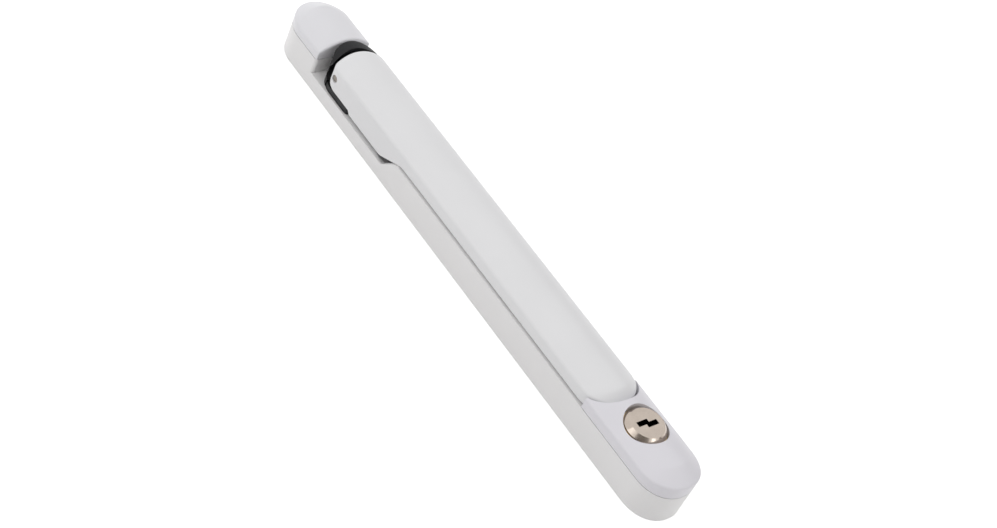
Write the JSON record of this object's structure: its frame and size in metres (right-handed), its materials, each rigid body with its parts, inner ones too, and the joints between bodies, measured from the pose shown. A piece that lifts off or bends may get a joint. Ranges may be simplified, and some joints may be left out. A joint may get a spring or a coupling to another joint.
{
  "type": "inline espagnolette handle",
  "caption": "Slim inline espagnolette handle: long crowned base, fold-flat lever on a turning hub, square drive socket and key lock at the far end.",
  "frame": {"origin": "on the mounting face, on the axis of the spindle", "axes": "+Z out of the door, +Y along the handle towards the hinge end, X across the handle"},
  "size_m": [0.022, 0.2255, 0.0196],
  "materials": {
    "white_coat": "satin white powder coat on cast metal",
    "black_moulding": "fine matt black moulding",
    "nickel": "satin nickel plate",
    "steel": "plain zinc plated steel",
    "brass_body": "machined brass",
    "nylon": "natural nylon",
    "rubber": "matt rubber"
  },
  "bodies": {
    "base": {"base": "white_coat", "hinge_cap": "white_coat", "lock_cap": "white_coat", "hinge_cap_screws": "steel", "lock_cap_screws": "steel", "lock_barrel": "brass_body", "bolt_cover": "steel", "bolt_cover_screws": "steel", "nose_buffers": "rubber"},
    "hub": {"hub": "black_moulding", "drive_socket": "steel", "thrust_washer": "nylon", "wave_washer": "steel", "retaining_ring": "steel"},
    "lever": {"lever": "white_coat", "hinge_pin": "steel", "pin_washers": "nylon", "lever_catch": "steel", "catch_screws": "steel"},
    "plug": {"lock_plug": "nickel", "lock_wafers": "brass_body", "plug_clip": "steel"},
    "bolt": {"lock_bolt": "steel"}
  },
  "joints": [
    {"name": "spindle_turn", "type": "hinge", "parent": "base", "child": "hub", "pos_m": [0, 0, 0], "axis": [0, 0, 1], "range_deg": [-90, 90]},
    {"name": "lever_lift", "type": "hinge", "parent": "hub", "child": "lever", "pos_m": [0, 0, 0.0126], "axis": [-1, 0, 0], "range_deg": [0, 75]},
    {"name": "key_turn", "type": "hinge", "parent": "base", "child": "plug", "pos_m": [0, -0.16656, 0.012], "axis": [0, 0, 1], "range_deg": [0, 90]},
    {"name": "bolt_slide", "type": "slide", "parent": "base", "child": "bolt", "axis": [0, 1, 0], "range_m": [0, 0.00354]}
  ],
  "couplings": [
    {"joint": "bolt_slide", "follows": "key_turn", "m_per_rad": 0.0022508}
  ]
}
